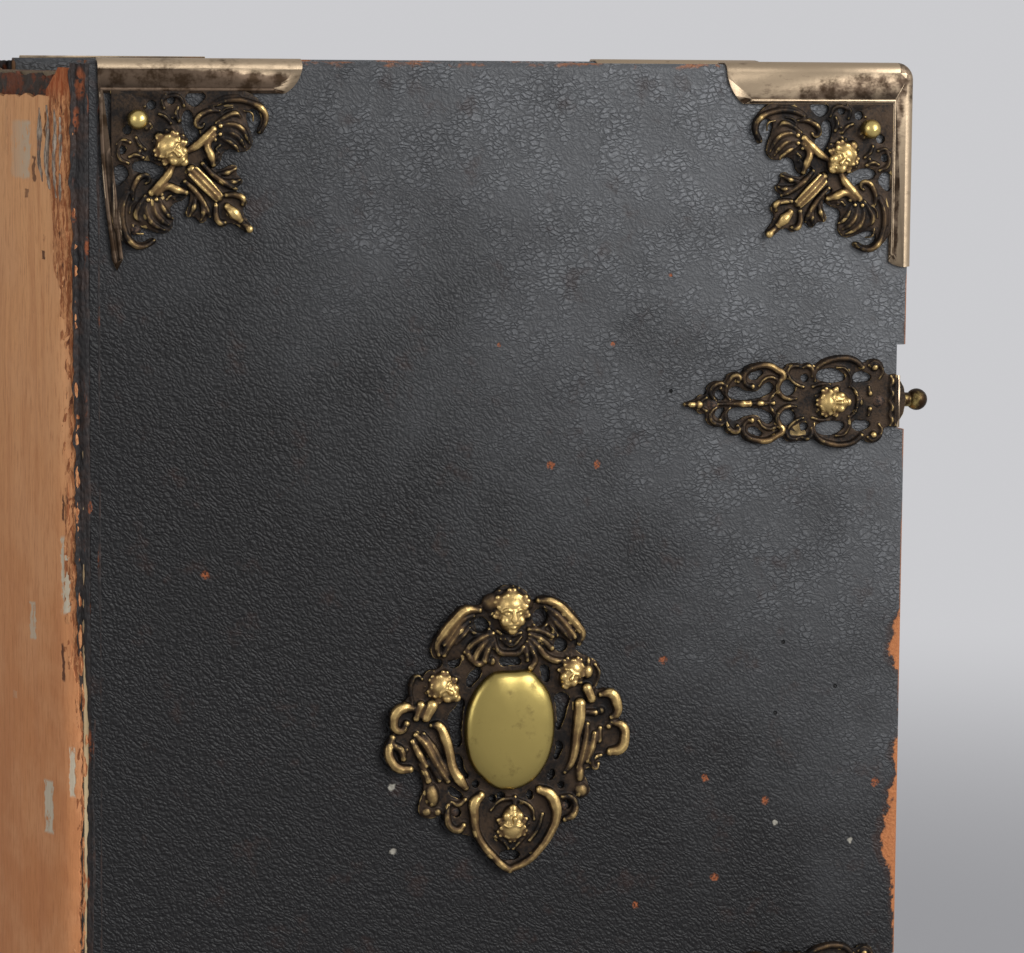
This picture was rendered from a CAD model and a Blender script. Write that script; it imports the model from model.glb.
import math
import bpy
import bmesh
from mathutils import Matrix, Vector, noise


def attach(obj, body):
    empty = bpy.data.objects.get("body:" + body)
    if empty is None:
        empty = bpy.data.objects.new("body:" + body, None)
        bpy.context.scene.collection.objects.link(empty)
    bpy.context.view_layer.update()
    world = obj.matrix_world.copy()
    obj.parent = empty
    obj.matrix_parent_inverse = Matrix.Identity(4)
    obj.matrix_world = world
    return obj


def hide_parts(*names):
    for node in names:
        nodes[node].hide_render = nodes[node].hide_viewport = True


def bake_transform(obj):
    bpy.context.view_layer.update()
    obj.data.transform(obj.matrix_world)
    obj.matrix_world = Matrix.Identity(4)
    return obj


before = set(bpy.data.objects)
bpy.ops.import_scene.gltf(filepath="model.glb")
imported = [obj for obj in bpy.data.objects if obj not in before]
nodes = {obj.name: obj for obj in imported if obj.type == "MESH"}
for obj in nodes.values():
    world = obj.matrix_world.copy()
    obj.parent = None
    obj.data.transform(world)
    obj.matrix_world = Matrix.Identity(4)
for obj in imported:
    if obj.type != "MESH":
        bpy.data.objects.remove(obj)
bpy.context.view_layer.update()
print("frame loaded:", len(nodes), "nodes")

faceY = -0.0685  # outer face of the front board
middleZ = 0.1968


# Colours and shader wiring
def paint(red, green, blue):
    # a colour as a paint chart gives it, 0 to 255, made linear
    def linear(value):
        value = value / 255
        return value / 12.92 if value <= 0.04045 else ((value + 0.055) / 1.055) ** 2.4
    return (linear(red), linear(green), linear(blue), 1.0)


class Wire:
    # an output socket; sums and products of wires add Math nodes
    def __init__(self, finish, socket):
        self.finish = finish
        self.socket = socket

    def __add__(self, other):
        return self.finish.maths("ADD", self, other)

    def __radd__(self, other):
        return self.finish.maths("ADD", other, self)

    def __sub__(self, other):
        return self.finish.maths("SUBTRACT", self, other)

    def __rsub__(self, other):
        return self.finish.maths("SUBTRACT", other, self)

    def __mul__(self, other):
        return self.finish.maths("MULTIPLY", self, other)

    def __rmul__(self, other):
        return self.finish.maths("MULTIPLY", other, self)

    def __abs__(self):
        return self.finish.maths("ABSOLUTE", self, 0.0)


class Finish:
    # one material or world; a material's place is Object coordinates in millimetres
    def __init__(self, name, world=None):
        self.material = world or bpy.data.materials.new(name)
        self.material.use_nodes = True
        self.nodes = self.material.node_tree.nodes
        self.links = self.material.node_tree.links
        self.nodes.clear()
        if world is None:
            metres = self.node("TexCoord", {}, {}, "Object")
            self.place = self.node("VectorMath", {"operation": "SCALE"}, {0: metres, "Scale": 1000.0})
            self.x, self.y, self.z = self.split(self.place)

    def node(self, kind, settings=None, sockets=None, output=0):
        made = self.nodes.new("ShaderNode" + kind)
        for name, value in (settings or {}).items():
            if name == "stops":
                ramp = made.color_ramp
                while len(ramp.elements) < len(value):
                    ramp.elements.new(1.0)
                for element, (position, colour) in zip(ramp.elements, value):
                    element.position = position
                    element.color = colour
            else:
                setattr(made, name, value)
        for name, value in (sockets or {}).items():
            if isinstance(value, Wire):
                self.links.new(value.socket, made.inputs[name])
            else:
                made.inputs[name].default_value = value
        return Wire(self, made.outputs[output]) if made.outputs else None

    def maths(self, operation, first, second):
        return self.node("Math", {"operation": operation}, {0: first, 1: second})

    def split(self, vector):
        first = self.node("SeparateXYZ", {}, {0: vector})
        outputs = first.socket.node.outputs
        return [Wire(self, outputs[i]) for i in range(3)]

    def mix(self, factor, first, second):
        return self.node("Mix", {"data_type": "RGBA"}, {0: factor, 6: first, 7: second}, 2)

    def step(self, value, low, high):
        # 0 below low, 1 above high, soft between
        return self.node("MapRange", {"interpolation_type": "SMOOTHSTEP"}, {0: value, 1: low, 2: high})

    def scaled(self, vector, factors):
        return self.node("VectorMath", {"operation": "MULTIPLY"}, {0: vector, 1: factors})

    def stretch(self, across, deep, up):
        return self.scaled(self.place, (across, deep, up))

    def turned(self, vector, angle):
        return self.node("VectorRotate", {"rotation_type": "Y_AXIS"}, {"Vector": vector, "Angle": angle})

    def warped(self, vector, size, amount):
        drift = self.node("TexNoise", {}, {"Vector": self.place, "Scale": 1 / size, "Detail": 2.0}, 1)
        centred = self.node("VectorMath", {"operation": "SUBTRACT"}, {0: drift, 1: (0.5, 0.5, 0.5)})
        return self.node("VectorMath", {"operation": "MULTIPLY_ADD"},
                         {0: centred, 1: (amount,) * 3, 2: vector})

    def noise(self, size, detail=3.0, rough=0.5, vector=None):
        vector = vector or self.place
        return self.node("TexNoise", {}, {"Vector": vector, "Scale": 1 / size, "Detail": detail,
                                          "Roughness": rough})

    def cells(self, size, feature="F1", vector=None, output=0, irregular=1.0):
        vector = vector or self.place
        wanted = {"Vector": vector, "Scale": 1 / size, "Randomness": irregular}
        return self.node("TexVoronoi", {"feature": feature}, wanted, output)

    def curve(self, value, low, high, stops):
        # a grey value read off between low and high
        along = self.node("MapRange", {}, {0: value, 1: low, 2: high})
        shades = [((at - low) / (high - low), (shade, shade, shade, 1.0)) for at, shade in stops]
        return self.node("ValToRGB", {"stops": shades}, {0: along})

    def spot(self, across, up, radius, vector=None):
        # 1 inside a round spot on a face that looks along Y
        vector = vector or self.place
        flat = self.scaled(vector, (1.0, 0.0, 1.0))
        away = self.node("VectorMath", {"operation": "DISTANCE"}, {0: flat, 1: (across, 0.0, up)}, 1)
        return 1.0 - self.step(away, radius * 0.6, radius * 1.2)

    def strongest(self, wires):
        found = wires[0]
        for wire in wires[1:]:
            found = self.maths("MAXIMUM", found, wire)
        return found

    def done(self, colour, rough, height, strength, metal=0.0, specular=0.5):
        # height is relief in millimetres
        bump = self.node("Bump", {}, {"Height": height, "Strength": strength, "Distance": 0.001})
        shader = self.node("BsdfPrincipled", {}, {
            "Base Color": colour, "Roughness": rough, "Metallic": metal,
            "Specular IOR Level": specular, "Normal": bump,
        })
        self.node("OutputMaterial", {}, {"Surface": shader})
        return self.material


# Black cover leather
leather = {
    "black": paint(15, 14, 15),
    "rubbed": paint(126, 128, 131),
    "brown": paint(50, 31, 24),
    "tan": paint(203, 136, 86),
    "specks": [(39.7, 308.1, 0.8), (57.8, 328.9, 0.7), (3.6, 308.3, 0.7), (57.0, 210.4, 1.2),
               (71.3, 172.8, 1.2), (91.2, 164.9, 1.4), (74.7, 141.4, 1.3), (20.1, 271.6, 1.3),
               (35.0, 271.3, 1.2), (-86.7, 241.3, 1.2), (127.9, 168.9, 1.4), (48.9, 134.0, 1.0)],
    "jointScuffs": [(-119.6, 247.0, 1.2), (-120.4, 231.8, 0.8), (-119.3, 202.0, 0.9), (-121.8, 191.5, 1.5),
                    (-124.4, 375.8, 1.0), (-125.2, 347.5, 0.6), (-121.6, 339.0, 0.8), (-123.4, 386.0, 1.3),
                    (-121.0, 262.0, 0.6), (-122.4, 150.0, 0.8), (-120.2, 120.0, 1.0), (-121.6, 60.0, 1.1)],
    "wormRadius": 0.62,
    "wormHoles": [(96.4, 214.5), (113.9, 200.0), (94.1, 192.3), (58.5, 293.4)],
    "paleMarks": [(-29.1, 174.8, 1.1), (-28.7, 154.8, 1.0), (94.6, 157.5, 0.8), (119.9, 150.8, 0.9)],
    # how far the wear at the fore edge reaches in, by height
    "edgeWear": [(0, 0.25), (30, 0.5), (60, 0.3), (95, 0.55), (118, 0.35), (128, 0.5), (140, 0.6),
                 (148, 1.0), (157, 0.85), (163, 0.6), (166, 0.75), (172, 0.35), (176, 0.6), (181, 0.55),
                 (186, 0.25), (203, 0.3), (207, 0.75), (219, 0.7), (224, 0.3), (245, 0.25), (290, 0.2),
                 (312, 0.3), (318, 0.1), (393, 0.1)],
}


def blackLeather(name, rear=False):
    f = Finish(name)
    # rubbed grey towards the head and the fore edge, blacker towards the spine and the tail
    patchy = f.noise(32.0, 2.0, 0.55)
    upper = f.step(f.z + f.x * 0.9 + patchy * 120.0, 250.0, 530.0)
    # plates that crack along the grain: wide and low
    drift = f.warped(f.place, 4.2, 3.4)
    flat = f.turned(f.scaled(drift, (0.5, 0.7, 1.0)), 0.12)
    crack = f.cells(1.25, "DISTANCE_TO_EDGE", flat)
    plate = f.step(crack, -0.03, 0.2)
    # finer pebbles that run in slanting rows
    slanted = f.scaled(f.turned(drift, -0.7), (0.6, 1.0, 1.0))
    pebble = f.cells(0.85, "F1", slanted)
    fine = f.noise(0.7, 2.0, 0.6)
    plateShare = f.step(upper * 0.7 + patchy * 0.5, 0.3, 0.62)
    fade = f.step(f.noise(6.5, 2.0), 0.3, 0.62)
    height = plate * plateShare * fade * 0.3 + (1.0 - pebble) * (0.36 - plateShare * 0.16) + fine * 0.2
    # colour
    onPlates = 0.45 + f.step(height, 0.2, 0.7) * 0.55
    inPatches = 0.6 + f.step(patchy + fine * 0.4, 0.3, 0.75) * 0.4
    rubbed = upper * onPlates * inPatches
    base = f.mix(rubbed, leather["black"], leather["rubbed"])
    brownish = f.noise(17.0, 4.0, 0.7)
    base = f.mix(f.step(brownish, 0.56, 0.7) * 0.4, base, leather["brown"])
    wx, wy, wz = f.split(f.warped(drift, 1.1, 1.3))
    reach = f.curve(f.z, 0.0, 393.0, leather["edgeWear"])
    fromEdge = 136.15 - wx
    worn = 1.0 - f.step(fromEdge - reach * 8.5 + f.noise(3.0, 3.0, 0.7) * 6.0, -0.2, 0.9)
    scuffed = f.noise(7.0, 2.0, 0.6, f.stretch(1.0, 1.0, 0.4)) + reach * 0.3
    onEdge = f.step(f.x, 134.9, 135.9) * f.step(scuffed, 0.5, 0.62)
    headRim = f.step(wz, 391.2, 392.3) * f.step(brownish, 0.5, 0.6)
    wornOff = f.strongest([worn, onEdge, headRim * 0.7])
    fringe = 1.0 - f.step(fromEdge - reach * 12.0 + brownish * 8.0, 0.0, 2.0)
    base = f.mix(fringe * 0.6, base, leather["brown"])
    tanTone = f.mix(fine, paint(150, 84, 50), leather["tan"])
    base = f.mix(wornOff, base, tanTone)
    if not rear:
        spotPlace = f.warped(f.place, 1.6, 1.8)
        marks = f.strongest([f.spot(*speck, spotPlace) for speck in leather["specks"]])
        base = f.mix(marks * f.step(fine, 0.35, 0.6), base, paint(150, 84, 48))
        pale = f.strongest([f.spot(*mark, spotPlace) for mark in leather["paleMarks"]])
        base = f.mix(pale * 0.8, base, paint(168, 163, 150))
        holes = f.strongest([f.spot(*hole, leather["wormRadius"]) for hole in leather["wormHoles"]])
        base = f.mix(holes, base, paint(6, 5, 5))
        height = height - holes * 1.2
        wornOff = f.maths("MAXIMUM", wornOff, marks * 0.6)
    height = height - wornOff * 0.28
    rough = 0.46 + patchy * 0.16 + wornOff * 0.35 - plate * 0.06
    return f.done(base, rough, height, 0.85, specular=0.3)


# Brass
brass = {
    "dark": paint(17, 13, 11),
    "bronze": paint(58, 44, 31),
    "umber": paint(104, 80, 50),
    "rosy": paint(98, 82, 68),
    "rim": paint(178, 158, 132),
    "gold": paint(206, 176, 116),
    "yellow": paint(208, 184, 116),
    "olive": paint(164, 146, 86),
}


def castBrass(name, rubbedFrom=1.2, rubbedTo=4.6, bright=0.0):
    # brown in the hollows, rubbed bright where hands reach
    f = Finish(name)
    proud = abs(f.y) - 68.5
    point = f.node("NewGeometry", {}, {}, "Pointiness")
    high = f.step(proud, rubbedFrom, rubbedTo)
    ridge = f.step(point, 0.5, 0.55)
    groove = 1.0 - f.step(point, 0.44, 0.496)
    cloud = f.noise(6.0, 3.0, 0.6)
    fine = f.noise(0.8, 3.0, 0.65)
    rubbed = f.step(high * 0.75 + ridge * 0.6 + cloud * 0.5 + bright, 0.72, 1.25)
    base = f.mix(f.step(cloud * 0.6 + fine * 0.4, 0.38, 0.62), brass["dark"], brass["bronze"])
    base = f.mix(f.step(high + cloud * 0.5, 0.42, 0.8), base, brass["umber"])
    base = f.mix(groove * 0.85, base, brass["dark"])
    base = f.mix(rubbed, base, brass["gold"])
    rough = 0.48 - rubbed * 0.18 + fine * 0.14
    metal = 0.72 + rubbed * 0.28
    height = fine * 0.14 + cloud * 0.3
    return f.done(base, rough, height, 0.6, metal=metal)


def rolledBrass(name):
    # the folded rims: worn pink gold, brown where nobody rubs them
    f = Finish(name)
    cloud = f.noise(7.0, 4.0, 0.65)
    streak = f.noise(2.6, 4.0, 0.7, f.stretch(0.4, 1.0, 1.0))
    point = f.node("NewGeometry", {}, {}, "Pointiness")
    edge = f.step(point, 0.505, 0.56)
    groove = 1.0 - f.step(point, 0.44, 0.495)
    bySpine = 1.0 - f.step(f.x, -90.0, 10.0)
    worn = f.step(cloud * 0.75 + streak * 0.45 + edge * 0.5 - bySpine * 0.3, 0.54, 0.84)
    base = f.mix(f.step(cloud, 0.38, 0.56), brass["bronze"], brass["rosy"])
    base = f.mix(worn, base, brass["rim"])
    base = f.mix(f.step(streak, 0.58, 0.72) * 0.5, base, brass["rosy"])
    base = f.mix(groove * 0.85, base, brass["dark"])
    rough = 0.54 - worn * 0.16 + streak * 0.14
    height = cloud * 0.28 + streak * 0.10
    return f.done(base, rough, height, 0.6, metal=0.9 + worn * 0.1)


def polishedBrass(name, tone):
    f = Finish(name)
    cloud = f.noise(5.0, 4.0, 0.6)
    scratch = f.noise(0.5, 4.0, 0.7, f.turned(f.stretch(0.25, 1.0, 3.0), 0.5))
    proud = abs(f.y) - 68.5
    foot = 1.0 - f.step(proud, 0.6, 2.4)
    stain = f.step(cloud + foot * 0.35, 0.55, 0.85)
    base = f.mix(stain, tone, brass["bronze"])
    rough = 0.24 + cloud * 0.14 + stain * 0.15
    return f.done(base, rough, scratch * 0.02, 0.6, metal=1.0)


# Tan spine leather, leaves, boards, paper, thread, iron
spineMarks = {
    # x, height, half width, half height in millimetres
    "pale": [(-137.0, 366.5, 2.0, 9.0), (-127.6, 242.0, 1.3, 12.0), (-135.1, 227.0, 0.6, 6.0),
             (-131.9, 172.0, 1.0, 8.5), (-126.2, 183.5, 0.8, 8.0), (-138.6, 203.0, 0.5, 1.2)],
    "slits": [(-139.9, 373.0, 0.35, 9.0), (-135.9, 353.6, 0.5, 1.4), (-132.5, 335.9, 0.5, 1.4),
              (-134.4, 361.0, 0.35, 4.0), (-128.2, 262.0, 0.3, 4.0), (-128.4, 216.0, 0.4, 6.0),
              (-140.6, 352.0, 0.3, 1.0)],
}


def tanLeather(name):
    f = Finish(name)
    fibres = f.noise(0.7, 5.0, 0.7, f.stretch(1.0, 1.0, 0.09))
    streaks = f.noise(2.6, 4.0, 0.6, f.stretch(1.0, 1.0, 0.03))
    cloud = f.noise(24.0, 4.0, 0.55)
    base = f.mix(f.step(f.z, 150.0, 390.0), paint(204, 136, 86), paint(236, 176, 122))
    base = f.mix(f.step(streaks, 0.42, 0.66) * 0.35, base, paint(184, 116, 74))
    base = f.mix(f.step(cloud, 0.42, 0.66) * 0.45, base, paint(228, 170, 122))
    base = f.mix(f.step(fibres, 0.46, 0.7) * 0.5, base, paint(172, 106, 64))
    base = f.mix(f.step(f.noise(9.0, 5.0, 0.75), 0.68, 0.76) * 0.5, base, paint(124, 70, 42))
    front = 1.0 - f.step(f.y, -60.0, -30.0)
    drift = f.warped(f.place, 2.4, 1.3)
    dx, dy, dz = f.split(drift)

    def marked(table, wideShare, highShare):
        # soft-edged rectangles; the shares say how much of each is full strength
        found = []
        for across, up, wide, high in table:
            narrow = 1.0 - f.step(abs(dx - across), wide * wideShare, wide)
            found.append(narrow * (1.0 - f.step(abs(dz - up), high * highShare, high)))
        return f.strongest(found)

    flaked = f.step(f.noise(1.8, 4.0, 0.7, f.stretch(1.0, 1.0, 0.4)), 0.36, 0.45)
    pale = marked(spineMarks["pale"], 0.75, 0.85) * front * flaked
    base = f.mix(pale, base, f.mix(fibres, paint(176, 160, 134), paint(226, 214, 190)))
    dark = marked(spineMarks["slits"], 0.5, 0.8) * front
    base = f.mix(dark * 0.9, base, paint(72, 38, 22))
    height = fibres * 0.22 + f.noise(2.0, 4.0, 0.6) * 0.2 - dark * 0.9 - pale * 0.25
    return f.done(base, 0.76 + fibres * 0.18, height, 0.6)


def foldedLeather(name):
    # the black skin over the joint, cracked along the fold and scuffed to orange
    f = Finish(name)
    along = f.scaled(f.warped(f.place, 6.0, 2.4), (1.0, 1.0, 0.16))
    wrinkle = f.noise(1.3, 4.0, 0.65, along)
    grain = f.cells(1.0, "F1", f.stretch(1.0, 1.0, 0.55))
    base = f.mix(f.step(f.noise(8.0, 4.0, 0.65), 0.42, 0.68), paint(32, 29, 29), paint(54, 40, 34))
    lengthen = 0.28
    stretched = f.scaled(f.warped(f.place, 2.4, 1.6), (1.0, 1.0, lengthen))
    spots = []
    for across, up, radius in leather["jointScuffs"]:
        spots.append(f.spot(across, up * lengthen, radius, stretched))
    marks = f.strongest(spots)
    lines = f.step(wrinkle, 0.6, 0.68) * f.step(f.noise(11.0, 3.0, 0.6), 0.5, 0.62)
    worn = f.maths("MAXIMUM", marks * f.step(f.noise(1.4), 0.34, 0.5), lines * 0.55)
    base = f.mix(worn, base, paint(134, 74, 44))
    height = wrinkle * 0.7 - grain * 0.4
    rough = 0.5 + wrinkle * 0.2 + worn * 0.2
    return f.done(base, rough, height, 0.9, specular=0.35)


def tornLeather(name):
    f = Finish(name)
    along = f.scaled(f.warped(f.place, 3.0, 1.2), (1.0, 1.0, 0.12))
    fibres = f.noise(0.8, 4.0, 0.7, along)
    base = f.mix(f.step(fibres, 0.42, 0.6), paint(150, 88, 50), paint(216, 152, 102))
    hollow = f.step(f.noise(2.4, 4.0, 0.7, f.stretch(1.0, 1.0, 0.3)), 0.58, 0.66)
    base = f.mix(hollow * 0.85, base, paint(84, 44, 26))
    base = f.mix(f.step(f.z, 380.0, 386.0) * 0.6, base, paint(176, 82, 38))
    return f.done(base, 0.85 + fibres * 0.1, fibres * 0.7, 0.9)


def capRemains(name):
    f = Finish(name)
    cloud = f.noise(6.5, 4.0, 0.65)
    fibres = f.noise(0.9, 5.0, 0.7)
    base = f.mix(f.step(cloud, 0.46, 0.56), paint(66, 56, 48), paint(118, 66, 42))
    base = f.mix(f.step(fibres, 0.5, 0.65) * 0.6, base, paint(40, 30, 26))
    return f.done(base, 0.8 + fibres * 0.15, fibres * 0.6, 0.9)


def splinterPaper(name):
    f = Finish(name)
    fibres = f.noise(0.5, 5.0, 0.7, f.stretch(1.0, 1.0, 0.12))
    base = f.mix(f.step(fibres, 0.4, 0.62), paint(112, 96, 84), paint(196, 180, 160))
    base = f.mix(f.step(f.noise(3.0, 3.0), 0.58, 0.7) * 0.7, base, paint(158, 94, 56))
    return f.done(base, 0.85 + fibres * 0.1, fibres * 0.5, 0.9)


def leafEdges(name):
    f = Finish(name)
    leaf = f.noise(1.0, 2.0, 0.6, f.stretch(0.02, 4.5, 0.02))
    gathering = f.noise(1.0, 3.0, 0.7, f.stretch(0.006, 0.5, 0.006))
    dust = f.step(f.z + f.noise(30.0) * 60.0, 330.0, 400.0)
    base = f.mix(leaf, paint(168, 140, 100), paint(214, 194, 156))
    base = f.mix(f.step(gathering, 0.45, 0.62) * 0.45, base, paint(134, 102, 68))
    base = f.mix(dust * 0.35, base, paint(96, 76, 56))
    base = f.mix(f.step(f.noise(14.0, 5.0, 0.7), 0.6, 0.75) * 0.35, base, paint(128, 92, 58))
    return f.done(base, 0.86 + leaf * 0.08, leaf * 0.5 + gathering * 0.4, 0.7)


def oakBoard(name):
    f = Finish(name)
    grain = f.noise(0.9, 5.0, 0.65, f.stretch(1.0, 1.0, 0.045))
    base = f.mix(grain, paint(112, 76, 46), paint(156, 116, 76))
    return f.done(base, 0.72 + grain * 0.1, grain * 0.2, 0.7)


def pastedPaper(name):
    f = Finish(name)
    cloud = f.noise(22.0, 5.0, 0.6)
    rim = f.step(abs(f.x - 7.65) - 108.0, 0.0, 16.0)
    base = f.mix(cloud, paint(206, 188, 152), paint(228, 214, 184))
    base = f.mix(rim * f.step(f.noise(8.0, 4.0), 0.3, 0.7) * 0.6, base, paint(160, 122, 84))
    base = f.mix(f.step(f.noise(3.0, 3.0, 0.7), 0.68, 0.75) * 0.5, base, paint(150, 108, 70))
    return f.done(base, 0.88 + cloud * 0.05, f.noise(0.6, 4.0, 0.7) * 0.08, 0.7)


def liningPaper(name):
    f = Finish(name)
    fibres = f.noise(0.6, 5.0, 0.7, f.stretch(1.0, 1.0, 0.12))
    base = f.mix(fibres, paint(92, 76, 60), paint(168, 150, 122))
    base = f.mix(f.step(f.noise(5.0, 4.0, 0.7), 0.5, 0.7) * 0.7, base, paint(104, 62, 40))
    return f.done(base, 0.85 + fibres * 0.1, fibres * 0.5, 0.8)


def bandThread(name):
    f = Finish(name)
    turns = f.node("Math", {"operation": "SINE"}, {0: f.y * 5.2 + f.z * 1.5})
    base = f.mix(f.step(f.noise(6.0, 4.0, 0.7), 0.4, 0.65), paint(128, 100, 68), paint(78, 50, 36))
    base = f.mix(f.step(turns, -0.6, 0.6) * 0.5, base, paint(62, 42, 30))
    return f.done(base, 0.8 + f.noise(1.0) * 0.1, turns * 0.18, 0.8)


def rustedIron(name):
    f = Finish(name)
    cloud = f.noise(1.1, 4.0, 0.7)
    base = f.mix(f.step(cloud, 0.4, 0.6), paint(34, 31, 30), paint(84, 66, 54))
    rough = 0.48 + cloud * 0.25
    return f.done(base, rough, cloud * 0.2, 0.7, metal=0.75)


def dress(names, material):
    for name in names:
        thing = nodes[name]
        if not thing.material_slots:
            thing.data.materials.append(material)
        for slot in thing.material_slots:
            slot.material = material


coverLeather = blackLeather("coverLeather")
rearLeather = blackLeather("rearLeather", True)
mountBrass = castBrass("mountBrass", 1.4, 4.2, 0.06)
rimBrass = rolledBrass("rimBrass")
bossBrass = polishedBrass("bossBrass", brass["olive"])
centreBrass = castBrass("centreBrass", 1.5, 5.2, 0.12)
catchBrass = castBrass("catchBrass", 1.4, 4.2, 0.08)
shinyBrass = polishedBrass("shinyBrass", brass["yellow"])
tan = tanLeather("tanLeather")
foldLeather = foldedLeather("foldLeather")
tornFibre = tornLeather("tornFibre")
capLeather = capRemains("capLeather")
chipPaper = splinterPaper("chipPaper")

dress(["text_block"], leafEdges("leafEdges"))
dress(["front_board", "rear_board"], oakBoard("oakBoard"))
dress(["front_pastedown", "rear_pastedown"], pastedPaper("pastedPaper"))
dress(["spine_lining"], liningPaper("liningPaper"))
dress(["headband", "tailband"], bandThread("bandThread"))
dress(["front_nails", "rear_nails"], rustedIron("rustedIron"))
dress(["front_leather", "joint_leather_front"], coverLeather)
dress(["rear_leather", "joint_leather_rear"], rearLeather)
dress(["spine_leather"], tan)
dress(["front_studs", "rear_studs", "catch_knob_upper", "catch_knob_lower"], shinyBrass)
dress([n for n in nodes if "_mount_" in n], mountBrass)
dress([n for n in nodes if "centre_piece" in n], centreBrass)
dress(["catch_upper", "catch_lower"], catchBrass)
print("finishes made")


# Cast ornament
def asMesh(data):
    loose = bpy.data.objects.new("loose", data)
    bpy.context.scene.collection.objects.link(loose)
    graph = bpy.context.evaluated_depsgraph_get()
    mesh = bpy.data.meshes.new_from_object(loose.evaluated_get(graph))
    bpy.data.objects.remove(loose)
    return mesh


def smoothLoop(curve, points, closed):
    spline = curve.splines.new("BEZIER")
    spline.bezier_points.add(len(points) - 1)
    for knot, at in zip(spline.bezier_points, points):
        knot.co = at[:3]
        knot.handle_left_type = knot.handle_right_type = "AUTO"
        knot.radius = at[3] if len(at) > 3 else 1.0
    spline.use_cyclic_u = closed


def addPlate(bm, outline, windows, holes, thick):
    # a flat casting with its pierced windows, smooth all round
    curve = bpy.data.curves.new("plate", "CURVE")
    curve.dimensions = "2D"
    curve.fill_mode = "BOTH"
    curve.extrude = thick / 2
    curve.resolution_u = 4
    rounds = [[(u + r * c, v + r * s) for c, s in ((1, 0), (0, 1), (-1, 0), (0, -1))] for u, v, r in holes]
    for loop in [outline] + windows + rounds:
        smoothLoop(curve, [(u, v, 0.0) for u, v in loop], True)
    mesh = asMesh(curve)
    mesh.transform(Matrix.Translation((0, 0, thick / 2)))
    bm.from_mesh(mesh)
    bmesh.ops.remove_doubles(bm, verts=bm.verts, dist=0.0005)


def addStrands(bm, strands, ground, swell=1.0):
    # rods of changing thickness, half sunk in the plate: (u, v, radius) or (u, v, radius, height)
    curve = bpy.data.curves.new("strands", "CURVE")
    curve.dimensions = "3D"
    curve.bevel_depth = 1.0
    curve.bevel_resolution = 2
    curve.resolution_u = 5
    curve.use_fill_caps = True
    for strand in strands:
        points = []
        for at in strand:
            height = at[3] if len(at) > 3 else ground + 0.45 * at[2]
            points.append((at[0], at[1], height, at[2] * swell))
        smoothLoop(curve, points, False)
        for u, v, height, radius in (points[0], points[-1]):
            bmesh.ops.create_icosphere(bm, subdivisions=2, radius=radius,
                                       matrix=Matrix.Translation((u, v, height)))
    bm.from_mesh(asMesh(curve))


def addLump(bm, u, v, height, sizes, angle=0.0):
    turn = Matrix.Rotation(math.radians(angle), 4, "Z")
    place = Matrix.Translation((u, v, height)) @ turn @ Matrix.Diagonal((*sizes, 1))
    bmesh.ops.create_icosphere(bm, subdivisions=3, radius=1.0, matrix=place)


head = {
    # along the face from crown to chin, across it, and up; all in head sizes
    "lumps": [(-0.22, 0.0, 0.10, (0.98, 0.92, 0.74)), (0.30, 0.0, 0.20, (0.92, 0.74, 0.66)),
              (-0.32, 0.0, 0.46, (0.50, 0.60, 0.44)), (1.08, 0.0, 0.52, (0.22, 0.28, 0.24)),
              (0.80, 0.0, 0.56, (0.26, 0.34, 0.24))],
    "pairs": [(0.52, 0.44, 0.52, (0.32, 0.27, 0.30)), (0.13, 0.34, 0.70, (0.11, 0.17, 0.14))],
    "nose": [(-0.08, 0.0, 0.07, 0.86), (0.20, 0.0, 0.11, 0.95), (0.42, 0.0, 0.17, 0.96)],
    "brow": [(-0.04, 0.14, 0.07, 0.86), (-0.12, 0.38, 0.09, 0.82), (0.02, 0.62, 0.08, 0.64)],
    "lips": [[(0.70, -0.24, 0.06, 0.76), (0.66, 0.0, 0.09, 0.84), (0.70, 0.24, 0.06, 0.76)],
             [(0.84, -0.16, 0.06, 0.74), (0.87, 0.0, 0.10, 0.80), (0.84, 0.16, 0.06, 0.74)]],
    # rows of curls: distance from the middle, how many, size, height, first and last angle from the crown
    "curls": [(0.68, 6, 0.25, 0.46, 72), (0.88, 8, 0.28, 0.28, 104), (1.02, 9, 0.27, 0.06, 112)],
}


def addHead(bm, u, v, size, angle, ground):
    turn = math.radians(angle)
    along = Vector((math.cos(turn), math.sin(turn)))
    across = Vector((-math.sin(turn), math.cos(turn)))

    def at(a, c):
        spot = Vector((u, v)) + size * (a * along + c * across)
        return spot.x, spot.y

    base = ground * 0.6
    pairs = [(a, c * side, w, sizes) for a, c, w, sizes in head["pairs"] for side in (-1, 1)]
    for a, c, w, sizes in head["lumps"] + pairs:
        addLump(bm, *at(a, c), base + w * size, [size * s for s in sizes], angle)
    lines = [head["nose"]] + head["lips"]
    lines += [[(a, c * side, r, w) for a, c, r, w in head["brow"]] for side in (-1, 1)]
    for away, count, thick, lift, spread in head["curls"]:  # each curl is a small hook round a bead
        for i in range(count):
            way = math.radians(180 - spread + 2 * spread * i / (count - 1))
            a, c = -0.10 + away * math.cos(way) * 0.94, away * math.sin(way) * 0.92
            addLump(bm, *at(a, c), base + lift * size, [size * thick * 0.8] * 3, angle)
            hook = []
            for step in range(4):
                swing = way + (1 if i % 2 else -1) * (0.6 + step * 1.25)
                hook.append((a + thick * 0.8 * math.cos(swing), c + thick * 0.8 * math.sin(swing),
                             thick * (0.55 - 0.05 * step), lift + thick * 0.2))
            lines.append(hook)
    strands = [[(*at(a, c), r * size, base + w * size) for a, c, r, w in line] for line in lines]
    addStrands(bm, strands, ground)


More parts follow.
